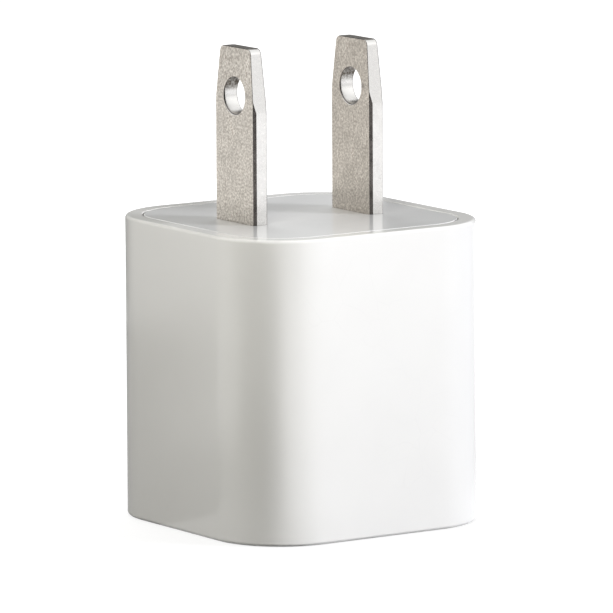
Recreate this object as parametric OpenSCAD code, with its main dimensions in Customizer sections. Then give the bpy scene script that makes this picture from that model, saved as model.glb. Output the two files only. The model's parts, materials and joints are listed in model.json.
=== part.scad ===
// Two-blade USB wall charger: a moulded cube that stands on its socket face, blades up.
// Origin: middle of the socket face. +Z runs to the blade tips, X from blade to blade,
// Y along the width of the blades.

/* [Body] */
// Width of the body, across the two blades
body_w = 27; // [26.4:0.2:34]
// Depth of the body, along the width of the blades
body_d = 27; // [26.4:0.2:34]
// Height of the body, from the socket face to the blade plate
body_h = 27.8; // [27.2:0.2:36]
// Radius of the four upright corners
corner_r = 7; // [5:0.1:8]
// Rounding of the outer edges at both ends
edge_r = 0.3; // [0.1:0.05:0.6]
// Thickness of the side walls
wall_t = 2.1; // [1.9:0.1:2.4]
// Thickness of the socket face
floor_t = 1.8; // [1.4:0.1:2.2]
// Width of the rim that shows round the blade plate
rim_t = 1.6; // [1.2:0.1:1.8]
// Width of the ribs that guide the upright board
guide_w = 1; // [0.6:0.1:1.2]
// Depth of the ribs that guide the upright board
guide_d = 1.2; // [0.8:0.1:1.6]
// Width of the corner posts and of the plate's legs
post_w = 1.6; // [1.2:0.1:2]
// Depth of the corner posts and of the plate's legs
post_d = 1.8; // [1.2:0.1:2.2]

/* [Blade plate] */
// Thickness of the blade plate
plate_t = 2.2; // [1.8:0.1:2.6]
// Gap of the seam round the plate
seam_gap = 0.08; // [0.05:0.01:0.15]
// Small break on the two edges of the seam
seam_break = 0.12; // [0.05:0.01:0.2]
// Thickness of the skirt under the plate
skirt_t = 1; // [0.8:0.1:1.4]
// Height of the skirt under the plate
skirt_h = 1.4; // [1:0.1:1.8]
// Height of the bosses that hold the blades
boss_h = 1.4; // [1.2:0.1:1.6]
// Plastic round each blade's anchor inside its boss
boss_wall = 1; // [0.8:0.1:1.4]

/* [Blades] */
// Distance between the middles of the blades
blade_pitch = 12.7; // [12:0.1:14]
// Width of a blade
blade_w = 6.35; // [6:0.05:7]
// Thickness of a blade
blade_t = 1.5; // [1.4:0.05:1.65]
// Length of a blade outside the plate
blade_len = 16; // [15:0.1:18.5]
// Bevel on the long edges
blade_bevel = 0.27; // [0.1:0.01:0.4]
// Length over which the width narrows to the tip
tip_len = 5.5; // [3:0.1:7]
// Width at the tip
tip_w = 4.9; // [4:0.1:6]
// Thickness at the tip
tip_t = 1.1; // [0.8:0.05:1.3]
// Length over which the thickness narrows to the tip
thin_len = 4; // [2:0.1:6]
// Radius of the tip's corners
tip_r = 1.6; // [0.5:0.1:2]
// Break on the tip's end edges
tip_break = 0.2; // [0.1:0.05:0.3]
// Diameter of the hole through a blade
hole_d = 3.4; // [3:0.1:4]
// Height of the hole's middle above the plate
hole_z = 11.6; // [10.5:0.1:12.5]
// Countersink on both rims of the hole
hole_break = 0.2; // [0.1:0.05:0.3]
// Reach of the anchor beyond the blade's edges, inside the plate
anchor_out = 0.9; // [0.5:0.1:1.2]
// Height of the anchor
anchor_h = 0.8; // [0.6:0.1:1]
// Width of the tail that enters the spring contact
tail_w = 2.8; // [2.6:0.1:3.2]
// Length of the tail below its boss
tail_len = 1.2; // [1:0.1:1.4]

/* [Spring contacts] */
// Room between the main board and the blade plate
contact_room = 3.2; // [3:0.1:3.6]
// Thickness of the spring strip
spring_t = 0.3; // [0.2:0.05:0.4]
// Width of the spring strip
spring_w = 2.4; // [2:0.1:2.6]
// Half length of a contact's foot on the board
spring_foot = 1.7; // [1.4:0.1:2]
// Flare of the mouth on each side
spring_flare = 0.3; // [0.2:0.05:0.4]
// Height of the pad that presses on the tail
spring_pad = 0.4; // [0.3:0.05:0.5]

/* [Socket] */
// Inner width of the socket sleeve
usb_w = 12.5; // [12.3:0.05:12.8]
// Inner height of the socket sleeve
usb_h = 5.1; // [5:0.05:5.3]
// Depth of the socket sleeve
usb_depth = 13.8; // [12.5:0.1:14.2]
// Sheet thickness of the socket sleeve
usb_sheet = 0.3; // [0.2:0.05:0.35]
// Inner corner radius of the socket sleeve
usb_r = 0.5; // [0.3:0.1:0.8]
// Recess of the sleeve's mouth below the socket face
usb_recess = 0.4; // [0.2:0.1:0.8]
// Gap between the sleeve and the hole in the housing
port_gap = 0.15; // [0.1:0.05:0.3]
// Bevel round the hole in the housing
port_bevel = 0.3; // [0.1:0.05:0.5]
// Wall of the collar that holds the sleeve inside
collar_t = 0.9; // [0.7:0.1:1.2]
// Height of the collar inside the socket face
collar_h = 2; // [1:0.1:2.4]
// Width of a spring finger in the sleeve
finger_w = 1.8; // [1.2:0.1:2.2]
// Length of a spring finger
finger_len = 5; // [4:0.1:5.5]
// Slot beside a spring finger
finger_slot = 0.3; // [0.2:0.05:0.4]
// Inward dip of a spring finger
finger_dip = 0.35; // [0.2:0.05:0.4]
// Distance of the dip from the finger's free end
finger_nose = 1.5; // [1:0.1:2]
// Offset of the paired fingers from the middle
finger_x = 3.2; // [2.6:0.1:3.8]
// Start of the fingers behind the sleeve's mouth
finger_z = 3.6; // [3:0.1:4]
// Width of the tongue
tongue_w = 11.1; // [10.8:0.1:11.3]
// Thickness of the tongue
tongue_t = 1.84; // [1.7:0.02:1.9]
// Offset of the tongue's contact face from the sleeve's middle
tongue_y = 0.15; // [0.1:0.01:0.18]
// Recess of the tongue's tip behind the sleeve's mouth
tongue_recess = 1.7; // [1.2:0.1:2]
// Bevel of the tongue's tip
tongue_bevel = 0.4; // [0.2:0.05:0.6]
// Length of the insulator block behind the tongue
block_len = 3.5; // [3:0.1:4]
// Width of a contact strip
strip_w = 1; // [0.8:0.05:1.1]
// Thickness of a contact strip
strip_t = 0.25; // [0.2:0.01:0.3]
// Height of a contact strip above the tongue
strip_proud = 0.12; // [0.08:0.01:0.16]
// Distance of the inner contacts from the middle
strip_in = 1; // [0.9:0.05:1.1]
// Distance of the outer contacts from the middle
strip_out = 3.5; // [3.3:0.05:3.7]
// Distance of the contact tails from the sleeve's rear end
strip_tail = 1.3; // [1:0.1:1.6]
// Width of a sleeve leg in the board
leg_w = 1.5; // [1:0.1:2]

/* [Boards] */
// Thickness of both boards
board_t = 1; // [0.8:0.1:1.4]
// Gap between a board and the cavity walls
board_gap = 0.2; // [0.1:0.05:0.3]
// Width of the tabs that join the upright board to the main board
tab_w = 2; // [1.5:0.1:3]
// Diameter of the leads
lead_d = 0.6; // [0.5:0.05:0.7]
// Gap round a lead, tab or leg in its board
lead_gap = 0.1; // [0.05:0.05:0.15]
// Length of a lead or tab that shows past its board
lead_out = 0.5; // [0.3:0.1:0.6]
// Gap between neighbouring parts
part_gap = 0.3; // [0.2:0.05:0.4]
// Gap of plastic parts that are pushed together
fit_gap = 0.1; // [0.05:0.05:0.15]
// Thickness of the insulating film
film_t = 0.2; // [0.1:0.05:0.25]

/* [Transformer] */
// Width of the ferrite core
core_w = 10.2; // [9.6:0.1:10.8]
// Length of the two core halves together
core_len = 10.6; // [9.8:0.1:11.2]
// Gap between the winding and the rear of the socket
coil_gap = 1.1; // [0.6:0.1:1.6]
// Build of the bobbin's tube, the wire and the tape on each face of the core
coil_build = 1.2; // [1.1:0.05:1.3]
// Width of the middle leg
core_leg = 2.6; // [2.2:0.1:3]
// Width of an outer leg
core_side = 1.5; // [1.3:0.1:1.7]
// Thickness of the core's back
core_back = 1.6; // [1.4:0.1:1.8]
// Wall of the bobbin
bobbin_t = 0.5; // [0.4:0.05:0.6]
// Thickness of the tape round the winding
tape_t = 0.15; // [0.1:0.01:0.2]
// Side of a square pin
pin_w = 0.5; // [0.4:0.02:0.54]
// Spacing of the pins
pin_pitch = 2.5; // [2.2:0.1:2.6]

/* [Capacitors and wound parts] */
// Diameter of a smoothing capacitor
bulk_d = 6.3; // [5:0.1:6.8]
// Length of a smoothing capacitor
bulk_len = 11.5; // [9:0.1:14]
// Spacing of a smoothing capacitor's leads
bulk_pitch = 2.5; // [2:0.1:2.8]
// Diameter of an output capacitor
out_d = 6.3; // [5:0.1:6.5]
// Height of an output capacitor
out_h = 6; // [5:0.1:6.3]
// Thickness of an output capacitor's base
out_base = 1; // [0.8:0.1:1.2]
// Diameter of the disc capacitor
disc_d = 7; // [6:0.1:7.4]
// Thickness of the disc capacitor
disc_t = 3; // [2.4:0.1:3.2]
// Spacing of the disc capacitor's leads
disc_pitch = 5; // [4:0.1:5.2]
// Diameter of the filter inductor
drum_d = 3.6; // [3:0.1:3.8]
// Height of the filter inductor
drum_h = 6; // [5:0.1:8]
// Thickness of the inductor's flanges
drum_flange = 0.8; // [0.6:0.1:1]
// Depth of the inductor's winding below its flanges
drum_waist = 0.35; // [0.2:0.05:0.5]
// Spacing of the inductor's leads
drum_pitch = 2; // [1.8:0.1:2.2]
// Diameter of the fusible resistor
res_d = 2.5; // [2:0.1:2.7]
// Length of the fusible resistor's body
res_len = 6.5; // [5:0.1:8]
// Depth of the resistor's waist between its end caps
res_waist = 0.2; // [0.1:0.05:0.3]
// Length of a resistor end cap
res_cap = 1.2; // [0.8:0.1:1.6]
// Radius of the turn in the resistor's lower lead
res_turn = 1.2; // [1.1:0.05:1.3]

/* [Chips] */
// Length, width and height of the bridge rectifier's body
bridge = [4.7, 3.9, 2.3];
// Length, width and height of the controller's body
chip = [2.9, 1.6, 1.1];
// Length, width and height of the power transistor's body
power = [6.5, 3.5, 1.6];
// Length, width and height of the output rectifier's body
diode = [4.3, 2.6, 2.2];
// Length, width and height of a small resistor or capacitor
small = [1.6, 0.8, 0.5];
// Thickness of the chip leads
foot_t = 0.2; // [0.15:0.01:0.25]
// Reach of the chip leads beyond the body
foot_out = 1.2; // [0.8:0.1:1.4]
// Spacing of the small parts in their rows
small_pitch = 1.4; // [1.2:0.1:1.5]

/* [Hidden] */
$fn = 48;
// Root by which a rib runs into the wall that carries it, and overrun of a cut
root = 0.5;
// Slant of a moulded chip body on each side
chip_slant = 0.15;
// Edge rounding and crimp groove of the capacitor cans
can_edge = 0.5;
crimp_r = 0.4;

// Cavity and the levels above the socket face
cav_x = body_w / 2 - wall_t;
cav_y = body_d / 2 - wall_t;
cav_r = corner_r - wall_t;
seat_z = body_h - plate_t;
seat_r = corner_r - rim_t;
main_top = seat_z - contact_room;
main_z = main_top - board_t;
boss_z = seat_z - boss_h;
blade_x = blade_pitch / 2;
tip_z = body_h + blade_len;
anchor_z = boss_z + (boss_h - anchor_h) / 2;
tail_y = (blade_w - tail_w) / 2;

// Socket
sleeve_w = usb_w + 2 * usb_sheet;
sleeve_h = usb_h + 2 * usb_sheet;
sleeve_r = usb_r + usb_sheet;
port_w = sleeve_w + 2 * port_gap;
port_h = sleeve_h + 2 * port_gap;
port_r = sleeve_r + port_gap;
rear_z = usb_recess + usb_depth;
tongue_z = usb_recess + tongue_recess;
strip_x = [-strip_out, -strip_in, strip_in, strip_out];
tail_z = rear_z - strip_tail;
legs_z = floor_t + collar_h + lead_gap + leg_w / 2;

// Upright board: its front face carries the sleeve
usb_front = -sleeve_h / 2;
usb_back = usb_front - board_t;
board_x = cav_x - board_gap;
board_y = cav_y - board_gap;
ear_x = core_w / 2 + 2 * part_gap;
tab_x = (ear_x + board_x) / 2;
usb_top = rear_z + lead_gap;

// Parts under the main board, from the film towards +Y and from the side ribs towards +Y
bulk_x = (bulk_d + part_gap) / 2;
bulk_y = sleeve_h / 2 + film_t + part_gap + bulk_d / 2;
core_y = sleeve_h / 2 + film_t - core_len / 2;
coil_h = main_z - part_gap - (rear_z + coil_gap);
core_t = coil_h - 2 * coil_build;
coil_z = main_z - part_gap - coil_h / 2;
side_y = usb_front + lead_gap + guide_w + part_gap;
disc_x = cav_x - part_gap - disc_t / 2;
disc_y = side_y + disc_d / 2;
drum_x = -(cav_x - part_gap - drum_d / 2);
drum_y = side_y + drum_d / 2;
res_x = -(cav_x - 2 * part_gap - res_d / 2);
res_y = drum_y + drum_d / 2 + part_gap + res_d / 2;
out_x = (out_d + part_gap) / 2 + part_gap;
out_z = tail_z - lead_d - part_gap - out_d / 2;
guide_x = cav_x - guide_d;
diode_x = (ear_x + guide_x) / 2;
diode_z = (usb_top + main_z) / 2;

// Parts on top of the main board
pin_y = core_len / 2 - core_back / 2;
bridge_y = bulk_y + part_gap;
power_y = core_y;
chip_x = blade_x + part_gap;
chip_y = bulk_y;
main_row_x = -blade_x;
main_row_y = bulk_y - small_pitch;
usb_row_x = (out_x + (out_d + part_gap) / 2 + guide_x) / 2;

// Where leads pass the main board
bulk_spots = [for (s = [-1, 1], e = [-1, 1]) [s * bulk_x, bulk_y + e * bulk_pitch / 2]];
disc_spots = [for (e = [-1, 1]) [disc_x, disc_y + e * disc_pitch / 2]];
drum_spots = [for (e = [-1, 1]) [drum_x, drum_y + e * drum_pitch / 2]];
res_spots = [[res_x, res_y], [res_x, res_y + 2 * res_turn]];
pin_spots = [for (e = [-1, 1], i = [-1.5 : 1 : 1.5]) [i * pin_pitch, core_y + e * pin_y]];

// Rectangle with round corners, centred
module round_rect(w, d, r) {
    square([w - 2 * r, d], center = true);
    square([w, d - 2 * r], center = true);
    for (sx = [-1, 1], sy = [-1, 1])
        translate([sx * (w / 2 - r), sy * (d / 2 - r)]) circle(r);
}

// Carries a profile round a rectangle with round corners.
// The profile's x is the distance out from the corner centres, its y is the height.
module sweep_round(w, d, r) {
    for (sx = [-1, 1], sy = [-1, 1])
        scale_sign(sx, sy) translate([w / 2 - r, d / 2 - r, 0]) rotate_extrude(angle = 90) children();
    for (s = [-1, 1]) {
        scale_sign(s, 1) translate([w / 2 - r, d / 2 - r, 0])
            rotate([90, 0, 0]) linear_extrude(d - 2 * r) children();
        scale_sign(1, s) translate([r - w / 2, d / 2 - r, 0])
            rotate([90, 0, 90]) linear_extrude(w - 2 * r) children();
    }
}

// Mirrors in x and y where the sign is negative
module scale_sign(sx, sy) {
    mirror([sx < 0 ? 1 : 0, 0, 0]) mirror([0, sy < 0 ? 1 : 0, 0]) children();
}

// Box centred in x and y that stands on z
module post(size, z) {
    translate([0, 0, z + size[2] / 2]) cube(size, center = true);
}

// Radial rib in each corner of the cavity, from radius r0 to r1 and from z0 to z1
module corner_ribs(r0, r1, z0, z1) {
    for (sx = [-1, 1], sy = [-1, 1])
        scale_sign(sx, sy) translate([cav_x - cav_r, cav_y - cav_r, z0]) rotate([0, 0, 45])
            translate([r0, -post_w / 2, 0]) cube([r1 - r0, post_w, z1 - z0]);
}

// Section of the housing's wall, with its ledge for the blade plate and the edge of the socket face
module wall_profile() {
    difference() {
        union() {
            translate([0, edge_r]) square([corner_r, body_h - 2 * edge_r]);
            square([corner_r - edge_r, body_h]);
            for (z = [edge_r, body_h - edge_r]) translate([corner_r - edge_r, z]) circle(edge_r);
        }
        translate([0, floor_t]) square([cav_r, body_h]);
        translate([0, seat_z]) square([seat_r, body_h]);
        translate([seat_r, body_h]) rotate(45) square(seam_break * sqrt(2), center = true);
    }
}

// Pairs of ribs on the side walls that the upright board slides between
module board_guides() {
    for (sx = [-1, 1], y = [usb_front + lead_gap, usb_back - lead_gap - guide_w])
        scale_sign(sx, 1) translate([guide_x, y, floor_t - root])
            cube([guide_d + root, guide_w, main_z - floor_t + root]);
}

// Collar round three sides of the socket sleeve; the upright board closes the fourth
module port_collar() {
    y0 = usb_front + lead_gap;
    y1 = port_h / 2 + collar_t;
    translate([-(port_w / 2 + collar_t), y0, floor_t - root])
        cube([port_w + 2 * collar_t, y1 - y0, collar_h + root]);
}

module port_cut() {
    translate([0, 0, -root]) linear_extrude(floor_t + collar_h + 2 * root) round_rect(port_w, port_h, port_r);
    sweep_round(port_w, port_h, port_r)
        polygon([[0, -root], [port_r + port_bevel, -root], [port_r + port_bevel, 0], [port_r, port_bevel],
            [0, port_bevel]]);
}

module housing() {
    color("white") difference() {
        union() {
            sweep_round(body_w, body_d, corner_r) wall_profile();
            post([body_w - 2 * corner_r, body_d - 2 * corner_r, floor_t], 0);
            board_guides();
            corner_ribs(cav_r - post_d, cav_r + root, floor_t - root, main_z);
            port_collar();
        }
        port_cut();
    }
}

// Flange of the blade plate, with the broken edge that makes the seam
module plate_flange() {
    w = body_w - 2 * (rim_t + seam_gap);
    d = body_d - 2 * (rim_t + seam_gap);
    r = seat_r - seam_gap;
    translate([0, 0, seat_z]) {
        sweep_round(w, d, r)
            polygon([[0, 0], [r, 0], [r, plate_t - seam_break], [r - seam_break, plate_t], [0, plate_t]]);
        post([w - 2 * r, d - 2 * r, plate_t], 0);
    }
}

// Skirt that centres the plate in the cavity
module plate_skirt() {
    w = 2 * (cav_x - fit_gap);
    d = 2 * (cav_y - fit_gap);
    r = cav_r - fit_gap;
    translate([0, 0, seat_z - skirt_h]) linear_extrude(skirt_h + root) difference() {
        round_rect(w, d, r);
        round_rect(w - 2 * skirt_t, d - 2 * skirt_t, r - skirt_t);
    }
}

// Block under the plate that closes round a blade's anchor
module blade_boss() {
    w = blade_t + 2 * boss_wall;
    d = blade_w + 2 * (anchor_out + boss_wall);
    post([w, d, boss_h + root], boss_z);
}

module blade_plate() {
    color("whitesmoke") difference() {
        union() {
            plate_flange();
            plate_skirt();
            corner_ribs(cav_r - post_d, cav_r - fit_gap - skirt_t / 2, main_top, seat_z + root);
            for (s = [-1, 1]) translate([s * blade_x, 0, 0]) blade_boss();
        }
        for (s = [-1, 1]) translate([s * blade_x, 0, 0]) blade_body();
    }
}

// Wide face of a blade from the anchor to the tip, drawn with y as width and z as height
module blade_face() {
    z0 = anchor_z + anchor_h;
    length = tip_z - z0;
    intersection() {
        polygon([[-blade_w / 2, z0], [blade_w / 2, z0], [blade_w / 2, tip_z - tip_len], [tip_w / 2, tip_z],
            [-tip_w / 2, tip_z], [-blade_w / 2, tip_z - tip_len]]);
        union() {
            translate([-blade_w / 2, z0]) square([blade_w, length - tip_r]);
            translate([0, tip_z - length / 2]) round_rect(blade_w, length, tip_r);
        }
    }
}

// Narrow side of a blade, which thins to the tip
module blade_side() {
    half = blade_t / 2;
    tip = tip_t / 2;
    z0 = anchor_z;
    polygon([[-half, z0], [half, z0], [half, tip_z - thin_len], [tip, tip_z - tip_break],
        [tip - tip_break, tip_z], [tip_break - tip, tip_z], [-tip, tip_z - tip_break],
        [-half, tip_z - thin_len]]);
}

// Cross-section of a blade with its four bevelled edges
module blade_section() {
    x = blade_t / 2;
    y = blade_w / 2;
    b = blade_bevel;
    polygon([[b - x, -y], [x - b, -y], [x, b - y], [x, y - b],
        [x - b, y], [b - x, y], [-x, y - b], [-x, b - y]]);
}

// Anchor and tail inside the body, drawn with y as width and z as height
module blade_root() {
    translate([-(blade_w / 2 + anchor_out), anchor_z]) square([blade_w + 2 * anchor_out, anchor_h]);
    translate([tail_y - tail_w / 2, boss_z - tail_len]) square([tail_w, anchor_z - boss_z + tail_len]);
}

// Stands a drawing of width and height up in the YZ plane, centred on its thickness
module stand_yz(t) {
    translate([-t / 2, 0, 0]) rotate([90, 0, 90]) linear_extrude(t) children();
}

module blade_body() {
    intersection() {
        stand_yz(blade_t) blade_face();
        translate([0, 0, anchor_z]) linear_extrude(tip_z - anchor_z) blade_section();
        translate([0, blade_w / 2, 0]) rotate([90, 0, 0]) linear_extrude(blade_w) blade_side();
    }
    stand_yz(blade_t) blade_root();
}

module blade_hole() {
    reach = blade_t / 2;
    translate([0, 0, body_h + hole_z]) rotate([0, 90, 0]) {
        cylinder(h = blade_t + 2 * root, d = hole_d, center = true);
        for (s = [0, 180]) rotate([0, s, 0]) translate([0, 0, reach - hole_break])
            cylinder(h = hole_break, d1 = hole_d, d2 = hole_d + 2 * hole_break);
    }
}

module blade(s) {
    color("silver") translate([s * blade_x, 0, 0]) difference() {
        blade_body();
        blade_hole();
    }
}

// Bent strip that grips a blade tail from both sides
module ac_contact(s) {
    grip = blade_t / 2;
    top = boss_z - main_top - fit_gap;
    pad_top = top - spring_flare;
    pad_low = pad_top - spring_pad;
    half = [[spring_foot, 0], [grip + spring_t, pad_low], [grip + spring_t, pad_top],
        [grip + spring_t + spring_flare, top], [grip + spring_flare, top], [grip, pad_top],
        [grip, pad_low], [spring_foot - 2 * spring_t, spring_t]];
    other = [for (i = [len(half) - 1 : -1 : 0]) [-half[i][0], half[i][1]]];
    color("goldenrod") translate([s * blade_x, tail_y + spring_w / 2, main_top])
        rotate([90, 0, 0]) linear_extrude(spring_w) polygon(concat(half, other));
}

module main_board() {
    color("seagreen") translate([0, 0, main_z]) linear_extrude(board_t) difference() {
        round_rect(2 * board_x, 2 * board_y, cav_r - board_gap);
        for (p = concat(bulk_spots, disc_spots, drum_spots, res_spots, pin_spots))
            translate(p) circle(d = lead_d + 2 * lead_gap);
        for (s = [-1, 1]) translate([s * tab_x, (usb_front + usb_back) / 2])
            square([tab_w + 2 * lead_gap, board_t + 2 * lead_gap], center = true);
    }
}

// Round leads at the given spots, from z up through the main board
module leads(spots, z) {
    for (p = spots) translate([p[0], p[1], z]) cylinder(h = main_top + lead_out - z, d = lead_d);
}

// Half section of a capacitor can that stands on z = 0, with its crimp below the sealed end
module can_profile(r, h) {
    difference() {
        union() {
            square([r - can_edge, h]);
            translate([0, can_edge]) square([r, h - can_edge]);
            translate([r - can_edge, can_edge]) circle(can_edge);
        }
        translate([r + crimp_r / 2, h - 4 * crimp_r]) circle(crimp_r);
    }
}

module bulk_capacitor(s) {
    z = main_z - part_gap - bulk_len;
    color("midnightblue") {
        translate([s * bulk_x, bulk_y, z]) rotate_extrude() can_profile(bulk_d / 2, bulk_len);
        leads([for (p = bulk_spots) if (p[0] * s > 0) p], z + bulk_len - can_edge);
    }
}

module y_capacitor() {
    edge = disc_t / 2;
    z = main_z - part_gap - disc_d / 2;
    color("royalblue") {
        translate([disc_x, disc_y, z]) rotate([0, 90, 0]) rotate_extrude() {
            translate([0, -edge]) square([disc_d / 2 - edge, disc_t]);
            intersection() {
                translate([disc_d / 2 - edge, 0]) circle(edge);
                translate([0, -edge]) square([disc_d, disc_t]);
            }
        }
        leads(disc_spots, z);
    }
}

module filter_inductor() {
    z = main_z - part_gap - drum_h;
    r = drum_d / 2;
    color("darkolivegreen") {
        translate([drum_x, drum_y, z]) {
            cylinder(h = drum_h, r = r - drum_waist);
            for (h = [0, drum_h - drum_flange]) translate([0, 0, h]) cylinder(h = drum_flange, r = r);
        }
        leads(drum_spots, z + drum_h - drum_flange);
    }
}

// Body stands upright; its lower lead turns round and comes back up to the board
module fusible_resistor() {
    z = main_z - 2 * part_gap - res_len;
    turn_z = z - part_gap;
    color("peru") {
        translate([res_x, res_y, z]) {
            cylinder(h = res_len, d = res_d - 2 * res_waist);
            for (h = [0, res_len - res_cap]) translate([0, 0, h]) cylinder(h = res_cap, d = res_d);
        }
        leads([res_spots[0]], z + res_len - res_cap);
        leads([res_spots[1]], turn_z);
        translate([res_x, res_y, turn_z]) cylinder(h = part_gap + res_cap, d = lead_d);
        translate([res_x, res_y + res_turn, turn_z]) rotate([-90, 0, 90])
            rotate_extrude(angle = 180) translate([res_turn, 0]) circle(d = lead_d);
    }
}

// Moulded chip body with slanted ends, on z = 0
module chip_body(size) {
    x = size[0] / 2;
    h = size[2];
    translate([0, size[1] / 2, 0]) rotate([90, 0, 0]) linear_extrude(size[1])
        polygon([[chip_slant - x, 0], [x - chip_slant, 0], [x, h / 2],
            [x - chip_slant, h], [chip_slant - x, h], [-x, h / 2]]);
}

// Bent lead that leaves a body's side at +Y, steps down and lies on z = 0
module chip_lead(w, y, h) {
    translate([-w / 2, y, 0]) rotate([90, 0, 90]) linear_extrude(w)
        polygon([[-root, h], [foot_out / 3, h], [2 * foot_out / 3, foot_t], [foot_out, foot_t], [foot_out, 0],
            [foot_out / 3, 0], [0, h - foot_t], [-root, h - foot_t]]);
}

// Leads on both sides of a body, at the given offsets along X
module chip_leads(size, offsets, w) {
    for (s = [0, 180], x = offsets)
        rotate([0, 0, s]) translate([x, 0, 0]) chip_lead(w, size[1] / 2, size[2] / 2);
}

module bridge_rectifier() {
    color("dimgray") translate([0, bridge_y, main_top]) {
        chip_body(bridge);
        chip_leads(bridge, [-bridge[0] / 4, bridge[0] / 4], lead_d);
    }
}

module controller_chip() {
    step = chip[0] / 3;
    color("dimgray") translate([chip_x, chip_y, main_top]) {
        chip_body(chip);
        chip_leads(chip, [-step, 0, step], step / 2);
    }
}

// Three leads on one side and one wide tab on the other
module power_transistor() {
    step = power[0] / 3;
    color("dimgray") translate([0, power_y, main_top]) {
        chip_body(power);
        for (x = [-step, 0, step]) translate([x, 0, 0]) chip_lead(lead_d, power[1] / 2, power[2] / 2);
        rotate([0, 0, 180]) chip_lead(step, power[1] / 2, power[2] / 2);
    }
}

module main_board_passives() {
    color("tan") for (i = [0 : 2])
        translate([main_row_x, main_row_y + i * small_pitch, main_top]) post(small, 0);
}

// One half of the E core; s is +1 for the half at +Y
module core_half(s) {
    half = core_len / 2;
    color("dimgray") translate([0, core_y, coil_z - core_t / 2]) scale_sign(1, s) linear_extrude(core_t) {
        translate([-core_w / 2, half - core_back]) square([core_w, core_back]);
        translate([-core_leg / 2, 0]) square([core_leg, half]);
        for (x = [-core_w / 2, core_w / 2 - core_side]) translate([x, 0]) square([core_side, half]);
    }
}

// Stretch of the winding window and the sizes of the bobbin tube and the winding
window_y = core_len - 2 * core_back - 2 * fit_gap;
window_x = core_w - 2 * core_side - 2 * fit_gap;
tube_x = core_leg + 2 * (fit_gap + bobbin_t);
tube_z = core_t + 2 * (fit_gap + bobbin_t);
coil_len = window_y - 2 * bobbin_t;
coil_x = window_x - 2 * tape_t - 2 * fit_gap;
coil_z_size = coil_h - 2 * tape_t - 2 * fit_gap;
coil_r = (coil_x - tube_x) / 4;

// Runs a drawing of x and z along Y, centred on the core
module along_y(length) {
    translate([0, core_y + length / 2, coil_z]) rotate([90, 0, 0]) linear_extrude(length) children();
}

// Rail over each end of the core, which stands on the board and holds a row of pins
module bobbin_rails() {
    low = core_t / 2 + fit_gap;
    depth = core_back + fit_gap + bobbin_t;
    for (s = [-1, 1]) translate([0, core_y + s * (core_len - depth) / 2, coil_z])
        post([core_w, depth, main_z - coil_z - low], low);
}

module transformer_bobbin() {
    color("black") difference() {
        union() {
            along_y(window_y) square([tube_x, tube_z], center = true);
            for (s = [-1, 1]) translate([0, s * (window_y - bobbin_t) / 2, 0])
                along_y(bobbin_t) square([window_x, coil_h], center = true);
            bobbin_rails();
        }
        along_y(window_y + 2 * root) square([core_leg + 2 * fit_gap, core_t + 2 * fit_gap], center = true);
        transformer_pins();
    }
}

module transformer_winding() {
    color("chocolate") along_y(coil_len) difference() {
        round_rect(coil_x, coil_z_size, coil_r);
        square([tube_x, tube_z], center = true);
    }
}

module transformer_tape() {
    color("gold") along_y(coil_len) difference() {
        round_rect(coil_x + 2 * tape_t, coil_z_size + 2 * tape_t, coil_r + tape_t);
        round_rect(coil_x, coil_z_size, coil_r);
    }
}

module transformer_pins() {
    low = coil_z + core_t / 2 + 2 * fit_gap;
    color("silver") for (p = pin_spots)
        translate([p[0], p[1], 0]) post([pin_w, pin_w, main_top + lead_out - low], low);
}

module insulation_sheet() {
    z = floor_t + collar_h;
    color("lightyellow") translate([0, sleeve_h / 2 + film_t / 2, 0]) post([sleeve_w, film_t, rear_z - z], z);
}

// Stands a drawing of x and z on the upright board's front face, running back by t
module on_usb_front(t) {
    translate([0, usb_front, 0]) rotate([90, 0, 0]) linear_extrude(t) children();
}

module usb_board() {
    color("seagreen") on_usb_front(board_t) difference() {
        union() {
            translate([-board_x, floor_t]) square([2 * board_x, usb_top - floor_t]);
            for (m = [0, 1]) mirror([m, 0]) {
                translate([ear_x, floor_t]) square([board_x - ear_x, main_z - floor_t]);
                translate([tab_x - tab_w / 2, floor_t]) square([tab_w, main_top + lead_out - floor_t]);
            }
        }
        for (x = strip_x) translate([x, tail_z + strip_t / 2]) circle(d = strip_w + 2 * lead_gap);
        for (s = [-1, 1]) translate([s * (sleeve_w - usb_sheet) / 2, legs_z])
            square([usb_sheet + 2 * lead_gap, leg_w + 2 * lead_gap], center = true);
    }
}

// Places a finger in the middle of each wall spot: [turn about Z, distance to the wall's inside, offset]
finger_spots = [
    [0, usb_h / 2, -finger_x], [0, usb_h / 2, finger_x],
    [180, usb_h / 2, -finger_x], [180, usb_h / 2, finger_x],
    [90, usb_w / 2, 0], [270, usb_w / 2, 0]
];

module at_fingers() {
    for (f = finger_spots)
        rotate([0, 0, f[0]]) translate([f[2], f[1], usb_recess + finger_z]) children();
}

// Strip of the sleeve that dips in towards the plug and turns out again at its free end
module finger() {
    bend = finger_len - finger_nose;
    t = usb_sheet;
    end = finger_dip / 2;
    stand_yz(finger_w)
        polygon([[0, -t], [t, -t], [t, 0], [t - finger_dip, bend], [t - end, finger_len], [-end, finger_len],
            [-finger_dip, bend], [0, 0]]);
}

// Leg that ends flush with the rear of the upright board
module sleeve_leg(s) {
    translate([s * (sleeve_w - usb_sheet) / 2 - usb_sheet / 2, usb_back, legs_z - leg_w / 2])
        cube([usb_sheet, -usb_back, leg_w]);
}

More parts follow.
